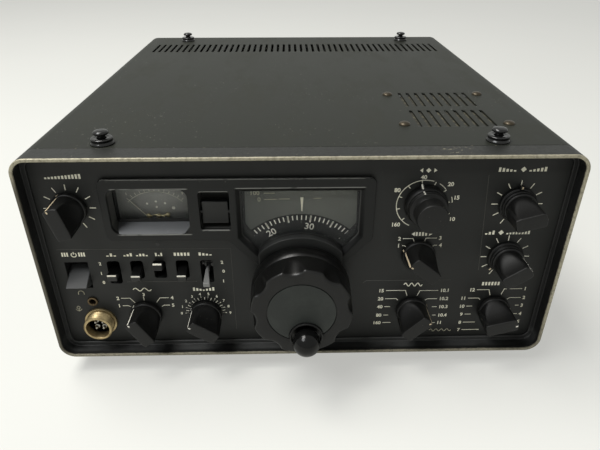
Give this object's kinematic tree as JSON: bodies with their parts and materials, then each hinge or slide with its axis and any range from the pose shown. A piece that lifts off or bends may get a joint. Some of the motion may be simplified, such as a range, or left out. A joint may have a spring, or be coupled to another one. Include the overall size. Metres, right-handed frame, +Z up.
{
  "type": "hf transceiver",
  "caption": "Compact desktop HF transceiver: bent-sheet case, deep front rim, analogue dial under a large spinner knob, signal meter, rotary controls, levers and rear sockets.",
  "frame": {"origin": "bottom centre of the bounding box, between the undersides of the feet", "axes": "-Y is the front with the controls, +Y the rear with the sockets, +Z up, +X to the right as seen from the front"},
  "size_m": [0.2836, 0.349, 0.1432],
  "materials": {
    "cover_paint": "dark olive-grey semi-gloss",
    "rim_metal": "black outside, bare worn front edge",
    "panel_paint": "satin charcoal",
    "bezel_plastic": "satin",
    "clear_pane": "clear",
    "mask_grey": "matte grey-olive",
    "dial_black": "matte",
    "meter_face": "matte grey",
    "meter_body": "matte",
    "needle_paint": "thin pale paint",
    "steel_sheet": "zinc plated",
    "aluminium_sheet": "satin",
    "sink_black": "black anodised",
    "rubber": "matte",
    "screw_black": "black oxide",
    "fastener_plastic": "gloss black",
    "knob_plastic": "gloss flanks, matte face",
    "inlay": "spun matte",
    "lever_plastic": "gloss",
    "bat_plastic": "satin",
    "rocker_plastic": "matte",
    "switch_body": "matte",
    "gear_brass": "plain",
    "shaft_steel": "ground",
    "board_epoxy": "resin board",
    "speaker_metal": "stamped and painted",
    "cone_paper": "paper",
    "mic_brass": "worn plating",
    "insert_black": "moulded",
    "plated": "nickel plated"
  },
  "bodies": {
    "case": {"front_frame": "rim_metal", "front_panel": "panel_paint", "dial_escutcheon": "bezel_plastic", "window_panes": "clear_pane", "dial_mask": "mask_grey", "meter_case": "meter_body", "meter_scale": "meter_face", "panel_bracket": "steel_sheet", "chassis": "steel_sheet", "top_cover": "cover_paint", "bottom_cover": "cover_paint", "rear_panel": "aluminium_sheet", "heat_sink": "sink_black", "rubber_feet": "rubber", "case_screws": "screw_black", "cover_grommets": "fastener_plastic", "speaker_frame": "speaker_metal", "speaker_cone": "cone_paper", "vfo_box": "aluminium_sheet", "plug_in_boards": "board_epoxy", "potentiometers": "steel_sheet", "wafer_switches": "steel_sheet", "lever_switch_bodies": "switch_body", "power_switch_body": "switch_body", "phones_jack": "plated", "mic_socket": "mic_brass", "mic_insert": "insert_black", "antenna_socket": "plated", "phono_sockets": "plated", "power_inlet": "insert_black", "ground_terminal": "plated"},
    "tuning": {"tuning_knob": "knob_plastic", "knob_inlay": "inlay", "dial_disc": "dial_black", "tuning_shaft": "shaft_steel"},
    "spinner": {"spinner_knob": "knob_plastic"},
    "capacitor": {"vfo_gear": "gear_brass"},
    "needle": {"meter_needle": "needle_paint"},
    "meter_switch": {"meter_rocker": "rocker_plastic"},
    "power_switch": {"power_rocker": "rocker_plastic"},
    "vox": {"vox_knob": "knob_plastic"},
    "mode": {"mode_knob": "knob_plastic"},
    "reject": {"reject_knob": "knob_plastic"},
    "preselector": {"preselector_knob": "knob_plastic"},
    "select": {"select_knob": "knob_plastic"},
    "clarifier": {"clarifier_ring": "knob_plastic"},
    "drive": {"drive_knob": "knob_plastic"},
    "rf_gain": {"rf_ring": "knob_plastic"},
    "af_gain": {"af_knob": "knob_plastic"},
    "band": {"band_knob": "knob_plastic"},
    "channel": {"channel_knob": "knob_plastic"},
    "agc": {"agc_lever": "lever_plastic"},
    "processor": {"processor_lever": "lever_plastic"},
    "blanker": {"blanker_lever": "lever_plastic"},
    "marker": {"marker_lever": "lever_plastic"},
    "clarifier_switch": {"clarifier_lever": "bat_plastic"},
    "plunger_front_left": {"plunger_front_left": "fastener_plastic"},
    "plunger_front_right": {"plunger_front_right": "fastener_plastic"},
    "plunger_rear_left": {"plunger_rear_left": "fastener_plastic"},
    "plunger_rear_right": {"plunger_rear_right": "fastener_plastic"}
  },
  "joints": [
    {"name": "tuning_turn", "type": "hinge", "parent": "case", "child": "tuning", "pos_m": [-0.0008, -0.14195, 0.0585], "axis": [0, 1, 0], "range_deg": [-360, 360]},
    {"name": "spinner_turn", "type": "hinge", "parent": "tuning", "child": "spinner", "pos_m": [0.00161, -0.16535, 0.04329], "axis": [0, 1, 0], "continuous": true},
    {"name": "capacitor_turn", "type": "hinge", "parent": "case", "child": "capacitor", "pos_m": [-0.0008, -0.08195, 0.0885], "axis": [0, 1, 0], "range_deg": [-90, 90]},
    {"name": "vox_turn", "type": "hinge", "parent": "case", "child": "vox", "pos_m": [-0.119, -0.14195, 0.1053], "axis": [0, 1, 0], "range_deg": [-123, 177]},
    {"name": "mode_turn", "type": "hinge", "parent": "case", "child": "mode", "pos_m": [-0.0895, -0.14195, 0.03615], "axis": [0, 1, 0], "range_deg": [0, 120]},
    {"name": "reject_turn", "type": "hinge", "parent": "case", "child": "reject", "pos_m": [-0.0553, -0.14195, 0.03621], "axis": [0, 1, 0], "range_deg": [-97, 203]},
    {"name": "preselector_turn", "type": "hinge", "parent": "case", "child": "preselector", "pos_m": [0.06411, -0.14195, 0.1055], "axis": [0, 1, 0], "range_deg": [-139, 161]},
    {"name": "select_turn", "type": "hinge", "parent": "case", "child": "select", "pos_m": [0.06341, -0.14195, 0.075], "axis": [0, 1, 0], "range_deg": [0, 100]},
    {"name": "clarifier_turn", "type": "hinge", "parent": "case", "child": "clarifier", "pos_m": [0.1119, -0.14195, 0.1053], "axis": [0, 1, 0], "range_deg": [-150, 150]},
    {"name": "drive_turn", "type": "hinge", "parent": "case", "child": "drive", "pos_m": [0.1119, -0.14195, 0.1053], "axis": [0, 1, 0], "range_deg": [-224, 76]},
    {"name": "rf_gain_turn", "type": "hinge", "parent": "case", "child": "rf_gain", "pos_m": [0.11171, -0.14195, 0.0728], "axis": [0, 1, 0], "range_deg": [-20, 280]},
    {"name": "af_gain_turn", "type": "hinge", "parent": "case", "child": "af_gain", "pos_m": [0.11171, -0.14195, 0.0728], "axis": [0, 1, 0], "range_deg": [-205, 95]},
    {"name": "band_turn", "type": "hinge", "parent": "case", "child": "band", "pos_m": [0.0638, -0.14195, 0.0368], "axis": [0, 1, 0], "range_deg": [-180, 120]},
    {"name": "channel_turn", "type": "hinge", "parent": "case", "child": "channel", "pos_m": [0.1114, -0.14195, 0.0368], "axis": [0, 1, 0], "range_deg": [-90, 240]},
    {"name": "agc_tilt", "type": "hinge", "parent": "case", "child": "agc", "pos_m": [0, -0.12345, 0.0651], "axis": [-1, 0, 0], "range_deg": [-24, 24]},
    {"name": "processor_tilt", "type": "hinge", "parent": "case", "child": "processor", "pos_m": [0, -0.12345, 0.0668], "axis": [-1, 0, 0], "range_deg": [0, 18]},
    {"name": "blanker_tilt", "type": "hinge", "parent": "case", "child": "blanker", "pos_m": [0, -0.12345, 0.0668], "axis": [-1, 0, 0], "range_deg": [-36, 0]},
    {"name": "marker_tilt", "type": "hinge", "parent": "case", "child": "marker", "pos_m": [0, -0.12345, 0.0668], "axis": [-1, 0, 0], "range_deg": [0, 18]},
    {"name": "clarifier_switch_tilt", "type": "hinge", "parent": "case", "child": "clarifier_switch", "pos_m": [0, -0.12345, 0.0651], "axis": [-1, 0, 0], "range_deg": [-24, 24]},
    {"name": "needle_swing", "type": "hinge", "parent": "case", "child": "needle", "pos_m": [-0.07855, -0.12135, 0.0878], "axis": [0, 1, 0], "range_deg": [0, 85], "stiffness_Nm_per_rad": 0.00005},
    {"name": "meter_switch_tilt", "type": "hinge", "parent": "case", "child": "meter_switch", "pos_m": [-0.04485, -0.13205, 0.1025], "axis": [-1, 0, 0], "range_deg": [-10, 10]},
    {"name": "power_tilt", "type": "hinge", "parent": "case", "child": "power_switch", "pos_m": [-0.12279, -0.12895, 0.0636], "axis": [1, 0, 0], "range_deg": [0, 24]},
    {"name": "pull_front_left", "type": "slide", "parent": "case", "child": "plunger_front_left", "axis": [0, 0, 1], "range_m": [0, 0.004]},
    {"name": "pull_front_right", "type": "slide", "parent": "case", "child": "plunger_front_right", "axis": [0, 0, 1], "range_m": [0, 0.004]},
    {"name": "pull_rear_left", "type": "slide", "parent": "case", "child": "plunger_rear_left", "axis": [0, 0, 1], "range_m": [0, 0.004]},
    {"name": "pull_rear_right", "type": "slide", "parent": "case", "child": "plunger_rear_right", "axis": [0, 0, 1], "range_m": [0, 0.004]}
  ],
  "couplings": [
    {"joint": "capacitor_turn", "follows": "tuning_turn", "ratio": -0.25}
  ]
}
